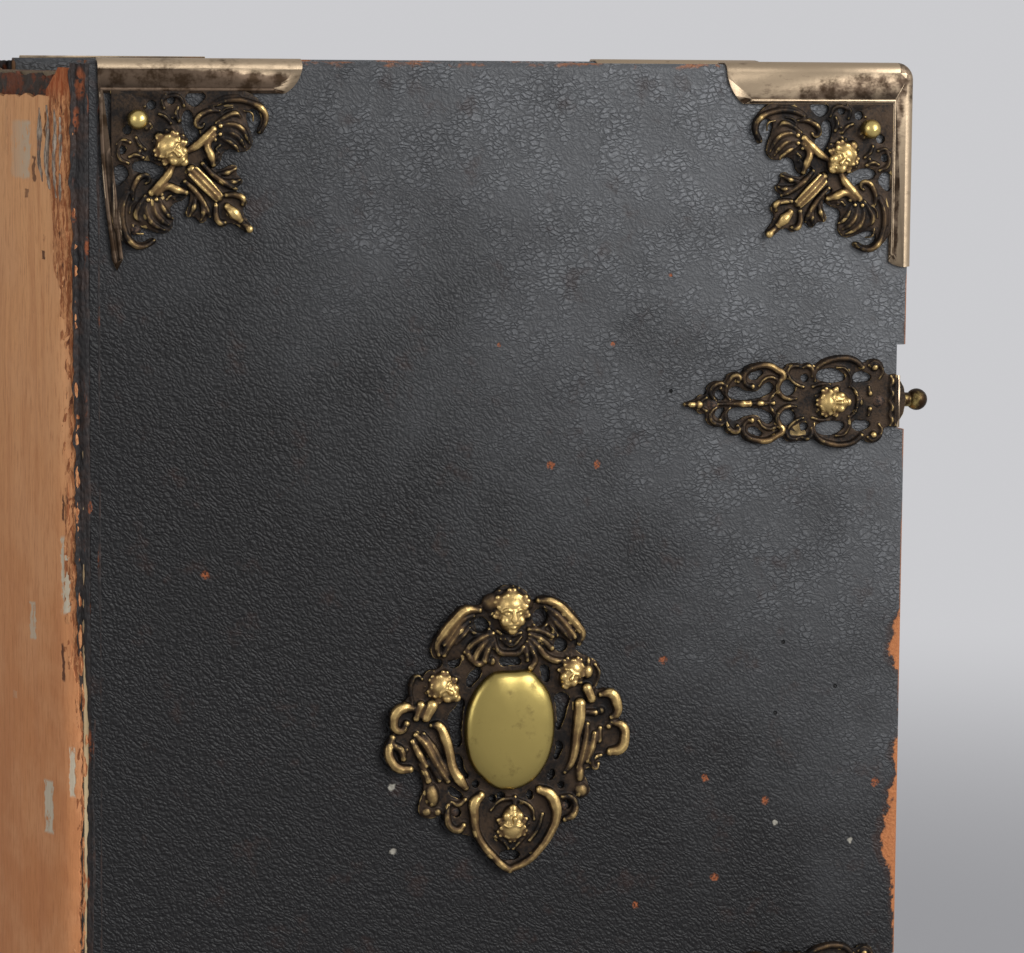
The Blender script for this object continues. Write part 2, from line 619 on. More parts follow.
def castMetal(bm, voxel, budget, toWorld):
    # melts the parts into one skin, then thins and smooths it
    mesh = bpy.data.meshes.new("melt")
    bm.to_mesh(mesh)
    bm.free()
    for kind, settings in (("REMESH", {"mode": "VOXEL", "voxel_size": voxel}),
                           ("SMOOTH", {"factor": 0.5, "iterations": 2}), ("DECIMATE", {})):
        melt = bpy.data.objects.new("melt", mesh)
        bpy.context.scene.collection.objects.link(melt)
        modifier = melt.modifiers.new(kind, kind)
        for name, value in settings.items():
            setattr(modifier, name, value)
        if kind == "DECIMATE":
            modifier.ratio = min(1.0, budget / (2 * len(mesh.polygons)))
        graph = bpy.context.evaluated_depsgraph_get()
        mesh = bpy.data.meshes.new_from_object(melt.evaluated_get(graph))
        bpy.data.objects.remove(melt)
    mesh.transform(toWorld)
    lowest = -0.0748  # the highest curls stay under the top of the centre piece
    for vert in mesh.vertices:
        if vert.co.y < lowest:
            vert.co.y = lowest + (vert.co.y - lowest) * 0.2
    return mesh


def mirrored(points):
    return [(v, u, *rest) for u, v, *rest in points]


def facing(across, up, x, z):
    # local millimetres to the front face: across and up are -1 where they run to the left or down
    return Matrix(((across * 0.001, 0, 0, x / 1000), (0, 0, -0.001, faceY), (0, up * 0.001, 0, z / 1000),
                   (0, 0, 0, 1)))


# the corner casting, from the inner corner of its rims; one half, the other mirrors it
winged = {
    "outline": [(2.0, -0.7), (12.0, -0.7), (24.0, -0.7), (34.0, -0.7), (38.6, -0.4), (43.6, 2.8),
                (46.0, 6.8), (45.2, 10.6), (43.4, 12.6), (42.6, 11.6), (43.8, 8.6), (43.0, 5.9),
                (41.0, 5.0), (39.5, 6.4), (39.9, 9.4), (41.0, 12.4), (41.2, 15.6), (38.8, 17.6),
                (33.4, 17.0), (31.0, 21.4), (28.8, 22.2), (26.8, 19.6), (26.4, 21.2), (31.4, 22.6),
                (36.4, 21.6), (36.6, 24.0), (38.4, 26.2), (36.0, 29.2), (38.6, 30.4), (39.6, 32.6),
                (38.4, 34.6)],
    "windows": [[(21.4, 5.5), (20.2, 9.5), (21.4, 12.9), (23.6, 16.2), (25.6, 12.8), (23.7, 8.6),
                 (23.0, 6.0)],
                [(21.4, 1.2), (27.2, 1.0), (26.4, 2.7), (23.6, 4.4)]],
    "holes": [(17.0, 2.5, 1.25), (11.2, 4.0, 1.35)],
    "ribs": [
        [(43.3, 11.8, 0.5), (44.8, 9.5, 0.8), (45.1, 7.0, 0.95), (43.6, 4.7, 1.15), (40.6, 3.2, 0.9),
         (36.6, 2.4, 0.9), (32.6, 2.8, 0.8), (29.3, 4.2, 0.55)],
        [(37.4, 1.3, 0.35), (33.8, 1.4, 0.4), (30.8, 2.5, 0.4), (28.6, 4.0, 0.35)],
        [(31.3, 5.6, 0.5), (28.8, 5.5, 0.8), (26.3, 6.4, 0.95), (24.6, 8.0, 0.95), (24.5, 9.8, 0.8),
         (25.9, 10.3, 0.6), (26.7, 9.4, 0.45)],
        [(30.4, 9.2, 0.6), (33.4, 7.2, 0.9), (36.2, 6.4, 0.9), (37.8, 7.9, 0.4)],
        [(31.6, 9.8, 0.6), (34.4, 9.4, 0.9), (37.6, 10.6, 1.0), (39.2, 12.6, 0.8), (40.3, 15.0, 0.35)],
        [(31.8, 11.6, 0.6), (35.2, 12.2, 0.95), (37.6, 14.2, 0.85), (38.9, 16.2, 0.35)],
        [(31.6, 13.4, 0.6), (34.2, 14.6, 0.95), (36.2, 16.2, 0.75), (37.0, 17.4, 0.35)],
        [(38.8, 5.6, 0.3), (41.0, 6.4, 0.4), (41.4, 8.6, 0.3)],
        [(35.2, 4.6, 0.3), (33.2, 5.0, 0.35), (31.6, 6.6, 0.3)],
        [(29.6, 12.6, 1.1), (27.6, 15.4, 1.3), (28.6, 18.6, 1.4), (29.4, 21.2, 0.9)],
        [(31.4, 15.6, 0.45), (30.4, 16.8, 0.5), (31.2, 17.9, 0.4)],
        [(31.0, 17.4, 0.4), (30.2, 18.6, 0.5), (30.6, 19.8, 0.35)],
        [(21.8, 17.2, 1.0), (24.2, 15.8, 1.4), (27.0, 13.4, 1.5), (29.4, 11.0, 1.2)],
        [(26.2, 21.0, 0.7), (28.6, 23.6, 0.95), (31.8, 26.0, 1.0), (34.6, 27.6, 0.9), (36.4, 28.4, 0.5)],
        [(31.0, 24.0, 0.5), (33.6, 23.6, 0.9), (36.2, 22.4, 0.4)],
        [(32.6, 26.0, 0.6), (35.2, 26.4, 1.0), (37.4, 25.8, 0.4)],
        [(33.2, 30.2, 0.8), (36.2, 30.2, 1.0), (38.2, 31.2, 1.1), (38.2, 32.8, 0.7)],
        [(2.2, 14.8, 0.4), (1.2, 17.2, 0.6), (1.8, 19.6, 0.6), (4.2, 20.8, 0.5)],
        [(15.4, 0.9, 0.4), (14.2, 2.6, 0.5), (14.8, 4.8, 0.5)],
        [(19.0, 4.6, 0.5), (18.4, 6.6, 0.7), (19.2, 8.6, 0.6)],
        [(13.4, 6.6, 0.5), (15.2, 7.4, 0.6), (16.8, 9.2, 0.5)],
    ],
    "lumps": [(34.6, 11.2, 0.9, (5.4, 5.6, 1.1), 35), (31.5, 10.0, 1.9, (0.75, 0.75, 0.8), 0),
              (31.4, 12.4, 1.9, (0.7, 0.7, 0.7), 0), (29.8, 13.9, 1.9, (0.7, 0.7, 0.7), 0),
              (13.2, 13.4, 1.2, (1.6, 1.6, 1.7), 0), (7.6, 17.4, 1.0, (0.7, 0.7, 0.8), 0),
              (4.4, 9.2, 1.0, (0.5, 0.5, 0.6), 0), (9.6, 10.4, 1.0, (1.1, 1.1, 0.9), 0)],
    "ridge": [[(22.8, 22.8, 1.7, 1.1), (26.6, 26.6, 2.1, 1.2), (30.6, 30.6, 1.9, 1.0)],
              [(22.2, 24.2, 0.5, 2.4), (26.2, 28.2, 0.6, 2.6), (30.2, 31.8, 0.5, 2.1)],
              [(33.6, 33.6, 1.2), (35.6, 35.6, 1.9), (37.4, 37.4, 1.2)],
              [(38.6, 38.6, 0.9), (40.2, 40.2, 1.25)]],
    "head": (17.0, 17.0, 4.7, 45),
    "plate": 1.15, "voxel": 0.23, "budget": 46000,
}


def cornerOrnament(toWorld):
    w = winged
    outline = [(-0.7, -0.7)] + w["outline"] + [(40.9, 40.9)] + mirrored(w["outline"])[::-1]
    bm = bmesh.new()
    addPlate(bm, outline, w["windows"] + [mirrored(p) for p in w["windows"]],
             w["holes"] + mirrored(w["holes"]), w["plate"])
    ridge = w["ridge"] + [mirrored(w["ridge"][1])]
    addStrands(bm, w["ribs"] + [mirrored(p) for p in w["ribs"]] + ridge, w["plate"])
    for u, v, height, sizes, angle in w["lumps"]:
        addLump(bm, u, v, height, sizes, angle)
        addLump(bm, v, u, height, sizes, 90 - angle)
    addHead(bm, *w["head"], w["plate"])
    return castMetal(bm, w["voxel"], w["budget"], toWorld)


def cadCopy(node, cuts):
    # a merged copy of a CAD node's mesh, kept on the inner side of each cutting plane
    bm = bmesh.new()
    bm.from_mesh(nodes[node].data)
    bmesh.ops.remove_doubles(bm, verts=bm.verts, dist=0.000001)
    for spot, normal in cuts:
        geometry = bm.verts[:] + bm.edges[:] + bm.faces[:]
        bmesh.ops.bisect_plane(bm, geom=geometry, plane_co=spot, plane_no=normal, clear_outer=True)
        bmesh.ops.holes_fill(bm, edges=[e for e in bm.edges if e.is_boundary])
    return bm


def finishPiece(name, meshes, materials, body, replaced):
    # joins the shells of one piece; each keeps its own material
    bm = bmesh.new()
    for index, mesh in enumerate(meshes):
        first = len(bm.faces)
        bm.from_mesh(mesh)
        bm.faces.ensure_lookup_table()
        for face in bm.faces[first:]:
            face.material_index = index
            face.smooth = True
    bmesh.ops.recalc_face_normals(bm, faces=bm.faces)
    data = bpy.data.meshes.new(name)
    bm.to_mesh(data)
    bm.free()
    for material in materials:
        data.materials.append(material)
    data.set_sharp_from_angle(angle=math.radians(42))
    piece = bpy.data.objects.new(name, data)
    bpy.context.scene.collection.objects.link(piece)
    if body:
        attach(piece, body)
    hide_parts(replaced)
    return piece


def reflect(mesh, axis):
    # tail pieces mirror head pieces, rear ones mirror front ones
    copy = mesh.copy()
    if axis == "Z":
        copy.transform(Matrix.Translation((0, 0, 2 * middleZ)) @ Matrix.Diagonal((1, 1, -1, 1)))
    else:
        copy.transform(Matrix.Diagonal((1, -1, 1, 1)))
    return copy


def everyCover(name, meshes, materials, node):
    # the same piece on both covers; node has {} where front or rear stands
    for side, body in (("front", "front_cover"), ("rear", "rear_cover")):
        shells = meshes if side == "front" else [reflect(m, "Y") for m in meshes]
        finishPiece(side + name, shells, materials, body, node.format(side))


def bmMesh(bm):
    mesh = bpy.data.meshes.new("shell")
    bm.to_mesh(mesh)
    bm.free()
    return mesh


corners = {
    "fore": {"node": "front_mount_head_fore", "origin": (129.35, 381.4), "across": -1,
             "side": ((129.0, 0), (-1.0, 0.0)), "below": 380.9},
    "spine": {"node": "front_mount_head_spine", "origin": (-113.85, 383.9), "across": 1,
              "side": ((-114.3, 363.9), (1.0, 0.127)), "below": 383.4},
}
for kind, c in corners.items():
    ornament = cornerOrnament(facing(c["across"], -1, *c["origin"]))
    (sideX, sideZ), (awayX, awayZ) = c["side"]
    below = c["below"] / 1000
    top = bmMesh(cadCopy(c["node"], [((0, 0, below), (0, 0, -1))]))
    side = bmMesh(cadCopy(c["node"], [((0, 0, below), (0, 0, 1)),
                                      ((sideX / 1000, 0, sideZ / 1000), (awayX, 0, awayZ))]))
    shells = [ornament, top, side]
    finishes = [mountBrass, rimBrass, rimBrass]
    everyCover("MountHead" + kind.title(), shells, finishes, "{}_mount_head_" + kind)
    everyCover("MountTail" + kind.title(), [reflect(m, "Z") for m in shells], finishes,
               "{}_mount_tail_" + kind)
print("corner mounts cast")


# the centre piece, from the middle of its medallion: across to the right, up, radius
centre = {
    "outline": [(-1.5, 44.0), (2.6, 43.2), (5.6, 40.8), (7.3, 38.2), (8.6, 40.0), (12.0, 40.2),
                (16.4, 38.4), (19.9, 35.4), (22.2, 31.8), (23.4, 28.2), (22.6, 25.2), (20.6, 24.0),
                (21.8, 22.4), (24.4, 21.2), (26.4, 20.2), (28.6, 17.8), (28.4, 14.0), (27.4, 11.0),
                (30.4, 11.2), (34.0, 9.4), (34.6, 5.4), (34.6, 1.8), (36.8, -0.2), (37.3, -4.6),
                (35.4, -8.8), (31.6, -9.4), (28.9, -10.2), (28.5, -13.8), (26.0, -13.4), (24.0, -14.4),
                (24.9, -17.8), (25.7, -20.8), (23.4, -22.8), (21.5, -22.8), (21.8, -25.8), (20.4, -29.2),
                (17.0, -30.2), (14.4, -32.7), (10.6, -38.2), (6.1, -41.8), (0.2, -44.6), (-3.4, -42.8),
                (-7.9, -38.3), (-11.9, -33.3), (-15.4, -32.0), (-18.9, -31.0), (-20.4, -27.8),
                (-20.9, -25.8), (-24.4, -26.8), (-28.4, -25.3), (-28.4, -21.3), (-27.2, -17.8),
                (-27.9, -13.8), (-29.4, -11.8), (-32.9, -12.0), (-36.9, -10.3), (-39.4, -6.8),
                (-38.9, -2.8), (-37.0, -0.4), (-38.0, 3.2), (-37.0, 7.2), (-33.4, 9.5), (-32.0, 11.2),
                (-32.0, 14.2), (-30.0, 17.6), (-28.0, 16.8), (-26.0, 18.6), (-22.5, 19.3), (-21.5, 21.3),
                (-24.5, 22.7), (-25.0, 26.2), (-23.0, 29.7), (-19.5, 34.2), (-15.5, 38.0), (-10.5, 38.0),
                (-8.5, 38.7), (-5.5, 41.7), (-3.5, 43.4)],
    "windows": [[(-15.2, 9.6), (-17.2, 7.2), (-19.6, 4.4), (-19.0, 0.0), (-17.4, -5.0), (-15.9, -5.0),
                 (-15.4, 0.0), (-15.0, 5.0)],
                [(-17.3, -7.5), (-15.6, -8.0), (-14.4, -12.0), (-13.2, -14.8), (-14.9, -14.3),
                 (-16.4, -11.0)],
                [(-19.4, -17.5), (-16.4, -18.5), (-14.9, -21.0), (-17.4, -20.5), (-18.9, -19.5)],
                [(-18.9, 25.4), (-16.4, 25.4), (-15.6, 22.2), (-16.4, 19.7), (-18.9, 19.3), (-20.0, 22.0)],
                [(-13.8, 15.6), (-11.4, 18.6), (-9.4, 18.7), (-9.3, 16.8), (-11.3, 14.3), (-13.3, 13.0)],
                [(-3.4, 21.6), (2.6, 21.5), (3.4, 19.9), (0.0, 19.3), (-2.9, 19.3)],
                [(9.6, 18.8), (11.6, 18.8), (12.5, 16.2), (11.8, 13.7), (10.4, 14.1), (9.7, 16.2)],
                [(14.4, 9.7), (18.6, 9.2), (18.1, 5.2), (16.7, 0.7), (15.2, -1.3), (14.9, 2.2), (14.6, 6.0)],
                [(15.2, -4.9), (16.8, -5.8), (16.2, -8.4), (14.4, -10.4), (14.6, -7.4)],
                [(12.1, -15.0), (14.1, -13.6), (12.8, -16.8)], [(6.1, -19.4), (7.4, -22.0), (6.0, -22.3)],
                [(-3.9, -20.0), (-1.4, -20.4), (-2.9, -22.2)],
                [(-3.0, -39.4), (0.4, -37.8), (3.4, -39.3), (0.6, -41.0)],
                [(-12.2, 31.2), (-10.4, 34.2), (-8.0, 33.8), (-7.0, 30.8), (-9.4, 29.9)],
                [(6.8, 33.8), (8.6, 36.4), (11.0, 35.4), (11.0, 32.2), (8.6, 31.0)]],
    "holes": [(15.9, 25.0, 2.2), (-16.7, -25.4, 1.4), (18.1, -24.6, 1.5), (-10.8, -16.8, 1.2),
              (-5.4, -21.5, 1.1), (16.4, -18.4, 1.1)],
    "wings": [  # the pair at the head: crests, then feathers
        [(-10.2, 36.6, 0.8), (-14.4, 36.7, 1.3), (-18.4, 33.4, 1.4), (-21.4, 29.9, 1.3), (-23.4, 26.4, 0.9),
         (-22.8, 23.6, 0.7)],
        [(-12.0, 35.0, 0.6), (-15.4, 34.0, 1.0), (-18.4, 30.4, 1.1), (-20.9, 26.6, 0.9)],
        [(-13.4, 33.2, 0.6), (-16.4, 30.6, 1.0), (-19.2, 27.0, 1.0), (-21.2, 23.4, 0.8)],
        [(-13.2, 31.2, 0.5), (-15.4, 29.0, 0.8), (-17.6, 26.8, 0.6)],
        [(-15.4, 37.2, 0.5), (-16.6, 35.4, 0.5)], [(-18.8, 34.4, 0.5), (-19.2, 32.2, 0.5)],
        [(-21.4, 31.2, 0.5), (-21.2, 29.0, 0.5)],
        [(-13.2, 31.2, 0.4), (-11.9, 29.8, 0.55), (-9.4, 29.2, 0.55), (-7.0, 29.8, 0.5)],
        [(-6.0, 29.3, 0.8), (-9.4, 28.2, 1.0), (-12.8, 26.0, 1.0), (-14.4, 24.0, 0.8)],
        [(-6.2, 28.2, 0.7), (-9.0, 26.0, 0.9), (-11.4, 22.4, 1.0), (-11.6, 20.7, 0.8)],
        [(-5.6, 27.2, 0.7), (-7.4, 24.4, 0.9), (-8.6, 21.2, 1.0)],
        [(-13.8, 23.6, 0.9), (-12.6, 21.6, 0.8), (-10.2, 20.2, 0.9), (-7.8, 21.2, 0.7)],
        [(8.7, 38.9, 0.8), (12.0, 38.7, 1.2), (15.4, 36.7, 1.3), (18.4, 33.6, 1.3), (20.9, 30.8, 1.2),
         (22.5, 28.2, 1.1), (21.6, 25.4, 0.8)],
        [(10.6, 37.0, 0.5), (14.0, 34.6, 0.9), (17.2, 31.2, 1.0), (20.0, 27.6, 0.9)],
        [(11.6, 35.4, 0.4), (13.8, 32.2, 0.8), (16.6, 29.2, 0.8), (19.0, 26.8, 0.6)],
        [(12.0, 33.0, 0.4), (13.0, 30.4, 0.6), (14.6, 28.0, 0.5)],
        [(12.8, 39.6, 0.4), (13.6, 37.8, 0.5)], [(16.6, 37.8, 0.4), (16.8, 35.8, 0.5)],
        [(19.6, 35.0, 0.4), (19.2, 33.0, 0.5)],
        [(21.8, 31.8, 0.4), (21.0, 30.0, 0.5)],
        [(5.6, 30.2, 0.6), (8.6, 29.8, 0.8), (13.0, 27.8, 0.7)],
        [(5.9, 28.6, 0.6), (9.0, 27.2, 0.9), (12.8, 24.2, 0.8)],
        [(5.8, 27.4, 0.6), (8.4, 24.8, 0.9), (11.2, 21.6, 0.9), (14.6, 20.2, 0.9), (16.4, 20.4, 0.6)],
        [(5.2, 26.4, 0.6), (6.8, 23.4, 0.9), (7.6, 20.6, 0.8), (6.2, 18.4, 0.9)],
        [(4.6, 25.4, 0.5), (4.9, 22.6, 0.7), (5.2, 20.8, 0.6)],
        [(7.2, 31.4, 0.4), (9.2, 30.2, 0.5), (11.4, 31.6, 0.4)]],
    "neck": [[(-7.0, 30.6, 0.5), (-5.6, 28.2, 0.6), (-4.9, 25.2, 0.7), (-3.6, 23.5, 0.8), (-0.6, 22.9, 0.8),
              (2.4, 23.2, 0.8), (3.9, 24.7, 0.7)],
             [(-3.2, 27.6, 0.4), (-1.2, 25.8, 0.5), (0.0, 25.4, 0.5), (1.6, 26.2, 0.5), (3.2, 28.0, 0.4)],
             [(-1.8, 27.6, 0.7), (-0.6, 26.8, 0.7)],
             [(-4.6, 30.0, 0.5), (-2.4, 28.8, 0.6), (0.2, 28.6, 0.6), (3.0, 29.2, 0.5)]],
    "scrolls": [
        [(-28.0, 16.2, 0.45), (-29.5, 17.1, 0.5), (-31.0, 15.2, 0.45), (-31.5, 12.2, 0.45),
         (-31.0, 9.2, 0.45), (-31.4, 7.6, 0.5)],
        [(-31.0, 7.4, 0.9), (-33.4, 7.8, 1.4), (-36.2, 6.2, 1.5), (-36.9, 3.6, 1.3), (-36.2, 1.2, 1.1),
         (-34.0, 0.8, 0.9), (-32.8, 2.8, 0.9)],
        [(-37.2, -1.4, 0.9), (-38.4, -4.8, 1.2), (-37.7, -8.3, 1.3), (-35.2, -10.8, 1.3),
         (-31.8, -11.2, 1.1)],
        [(-36.6, -3.8, 1.0), (-34.6, -5.2, 1.1), (-33.8, -7.8, 0.9)],
        [(26.9, 18.6, 0.45), (28.1, 16.2, 0.5), (27.5, 13.2, 0.45), (26.0, 10.7, 0.5)],
        [(28.8, 9.2, 0.8), (31.8, 9.5, 1.5), (33.7, 6.7, 1.5), (33.9, 3.2, 1.2), (32.4, 2.0, 0.9)],
        [(32.4, 0.6, 0.8), (35.8, -0.9, 1.3), (36.5, -4.4, 1.4), (35.2, -7.8, 1.5), (32.0, -8.6, 1.2)],
        [(29.0, -9.6, 0.5), (27.0, -10.3, 0.6), (26.3, -12.3, 0.6), (27.4, -13.6, 0.6), (28.2, -12.3, 0.5)],
        [(-19.4, -22.8, 0.6), (-19.9, -26.3, 0.9), (-18.9, -29.5, 1.0), (-16.4, -30.7, 1.0),
         (-14.7, -29.3, 0.8)],
        [(-18.6, -22.0, 0.5), (-16.4, -22.8, 0.7), (-14.2, -21.4, 0.6)],
        [(16.6, -22.0, 0.6), (19.6, -22.3, 0.8), (21.0, -24.8, 0.9), (20.0, -27.8, 1.1), (17.6, -29.0, 0.8)],
        [(-9.4, -20.3, 1.2), (-11.4, -22.4, 1.6), (-11.4, -26.8, 1.3), (-10.9, -30.8, 1.1),
         (-8.4, -35.8, 1.1), (-5.4, -39.3, 1.1), (-2.4, -42.3, 1.1), (0.0, -43.8, 1.0)],
        [(9.4, -19.4, 1.2), (12.4, -20.8, 1.6), (14.4, -24.3, 1.6), (14.7, -28.3, 1.3), (13.0, -32.8, 1.2),
         (9.5, -37.8, 1.1), (5.6, -41.3, 1.1), (0.0, -43.8, 1.0)],
        [(-6.0, -25.0, 0.4), (-3.6, -22.5, 0.5), (-0.4, -21.8, 0.55), (3.0, -22.5, 0.5), (6.9, -25.0, 0.5),
         (7.8, -28.5, 0.4)],
        [(1.6, -21.4, 0.6), (1.4, -24.6, 0.8)], [(-4.4, -33.2, 0.5), (-1.6, -35.2, 0.6), (-0.4, -37.2, 0.4)],
        [(5.6, -32.8, 0.5), (2.8, -35.6, 0.6), (1.2, -37.4, 0.4)],
        [(10.4, -27.0, 0.5), (9.0, -31.4, 0.6), (6.4, -35.0, 0.5)]],
    "drapes": [
        [(-24.9, 2.0, 0.8), (-22.9, 1.7, 1.3), (-20.9, -1.8, 1.5), (-19.4, -6.8, 1.4), (-18.4, -11.3, 1.4),
         (-16.4, -14.8, 1.6), (-14.2, -17.6, 0.9)],
        [(-29.9, -0.8, 0.8), (-26.9, -3.8, 1.1), (-24.4, -8.3, 1.1), (-21.9, -12.3, 1.0),
         (-19.7, -15.3, 0.8)],
        [(-27.4, -0.6, 0.6), (-24.6, -4.6, 0.9), (-21.9, -9.8, 1.0), (-19.9, -13.3, 0.8)],
        [(-30.9, -2.8, 0.8), (-28.9, -6.8, 1.1), (-26.9, -10.2, 1.0)],
        [(-28.4, -9.8, 0.7), (-27.0, -12.2, 0.9), (-25.9, -15.0, 0.9)],
        [(-25.8, -9.0, 0.6), (-23.8, -12.2, 0.8), (-22.4, -15.0, 0.7)],
        [(-26.8, 4.6, 1.4), (-25.0, 8.0, 1.6)], [(-29.8, 4.4, 1.0), (-28.4, 8.2, 1.2)],
        [(21.9, 6.7, 1.6), (21.7, 2.2, 1.7), (20.9, -2.8, 1.3), (20.4, -7.8, 1.2), (19.2, -11.8, 1.0),
         (17.5, -14.3, 0.6)],
        [(24.4, 0.2, 0.8), (23.9, -4.8, 1.0), (22.9, -9.8, 1.0), (21.8, -13.3, 0.9)],
        [(26.9, -2.8, 0.8), (25.9, -6.8, 1.2), (24.4, -10.8, 1.0)], [(23.9, 4.0, 0.7), (26.9, 3.7, 0.9)],
        [(28.6, -1.2, 0.7), (28.2, -4.8, 0.9)], [(25.6, 8.2, 1.3), (24.2, 11.4, 1.4)]],
    "lumps": [(-24.6, -19.5, 1.2, (2.3, 3.9, 2.3), 8), (-26.4, -24.6, 1.0, (1.9, 1.7, 1.6), 0),
              (-22.9, -24.8, 1.0, (1.5, 1.4, 1.5), 0), (-32.9, -5.3, 1.0, (1.1, 1.1, 1.3), 0),
              (31.4, -0.7, 1.2, (1.2, 1.2, 1.5), 0), (28.9, 4.2, 1.0, (1.5, 1.5, 1.5), 0),
              (22.2, -14.8, 1.3, (1.6, 3.2, 2.0), 0), (22.7, -20.2, 1.0, (2.5, 2.6, 2.1), 20),
              (24.2, 16.6, 1.6, (1.9, 2.3, 2.4), 0), (24.6, 19.6, 1.4, (0.8, 1.4, 1.2), 0),
              (19.6, -27.8, 1.0, (1.2, 1.3, 1.4), 0), (-6.0, 20.8, 1.1, (1.4, 1.5, 1.5), 0),
              (-6.2, 38.6, 1.2, (3.2, 3.0, 1.9), 40), (5.4, 38.0, 1.2, (1.6, 2.0, 1.5), 0),
              (-16.8, 27.6, 0.9, (5.0, 7.5, 1.0), -40), (17.2, 31.6, 0.9, (4.2, 7.2, 1.0), 40),
              (-9.6, 25.0, 0.9, (5.0, 4.4, 0.9), 0), (9.4, 25.6, 0.9, (4.6, 4.0, 0.9), 0),
              (-24.6, -5.8, 0.8, (4.6, 9.0, 1.0), 25), (23.8, -3.4, 0.8, (3.8, 9.0, 1.0), -5)],
    "heads": [(-0.2, 36.2, 5.6, -90), (0.6, -29.4, 4.7, 90), (-21.2, 13.2, 4.6, -38),
              (19.2, 16.4, 4.3, -120)],
    "plate": 1.5, "voxel": 0.27, "budget": 105000,
    "medallion": [(-5.1, 17.5), (0.7, 17.7), (6.3, 17.4), (9.1, 14.7), (11.5, 11.7), (13.2, 7.2),
                  (13.9, 2.2), (13.6, -3.8), (12.4, -8.8), (10.1, -13.3), (6.6, -16.8), (2.6, -18.6),
                  (-1.0, -19.0), (-4.6, -18.3), (-8.5, -15.4), (-12.0, -11.4), (-14.0, -6.0), (-14.5, 0.0),
                  (-14.1, 5.0), (-12.6, 9.7), (-9.6, 14.2), (-7.0, 16.5)],
    # the boss: share of its outline, height
    "boss": [(1.0, 0.9), (1.0, 2.2), (0.985, 3.0), (0.95, 3.8), (0.89, 4.4), (0.8, 4.85), (0.66, 5.2),
             (0.48, 5.45), (0.26, 5.6), (0.1, 5.64)],
    "place": (7.65, 191.6),
}


def bossMesh(toWorld):
    # the smooth medallion: its outline drawn in and up, ring by ring
    curve = bpy.data.curves.new("boss", "CURVE")
    curve.dimensions = "3D"
    curve.resolution_u = 5
    smoothLoop(curve, [(u, v, 0.0) for u, v in centre["medallion"]], True)
    bm = bmesh.new()
    bm.from_mesh(asMesh(curve))
    bmesh.ops.remove_doubles(bm, verts=bm.verts, dist=0.0005)
    ring = bm.edges[:]
    middle = Vector((-0.3, -0.6, 0.0))
    share, height = 1.0, 0.0
    for nextShare, nextHeight in centre["boss"]:
        made = bmesh.ops.extrude_edge_only(bm, edges=ring)["geom"]
        ring = [g for g in made if isinstance(g, bmesh.types.BMEdge)]
        corners = [g for g in made if isinstance(g, bmesh.types.BMVert)]
        bmesh.ops.scale(bm, vec=(nextShare / share,) * 2 + (1.0,), space=Matrix.Translation(-middle),
                        verts=corners)
        bmesh.ops.translate(bm, vec=(0, 0, nextHeight - height), verts=corners)
        share, height = nextShare, nextHeight
    bmesh.ops.holes_fill(bm, edges=[e for e in bm.edges if e.is_boundary])
    mesh = bmMesh(bm)
    mesh.transform(toWorld)
    return mesh


toWorld = facing(1, 1, *centre["place"])
bm = bmesh.new()
addPlate(bm, centre["outline"], centre["windows"], centre["holes"], centre["plate"])
addStrands(bm, centre["wings"] + centre["neck"] + centre["scrolls"] + centre["drapes"], centre["plate"],
           1.22)
for lump in centre["lumps"]:
    addLump(bm, *lump)
for place in centre["heads"]:
    addHead(bm, *place, centre["plate"])
casting = castMetal(bm, centre["voxel"], centre["budget"], toWorld)
everyCover("CentrePiece", [casting, bossMesh(toWorld)], [centreBrass, bossBrass], "{}_centre_piece")
print("centre pieces cast")


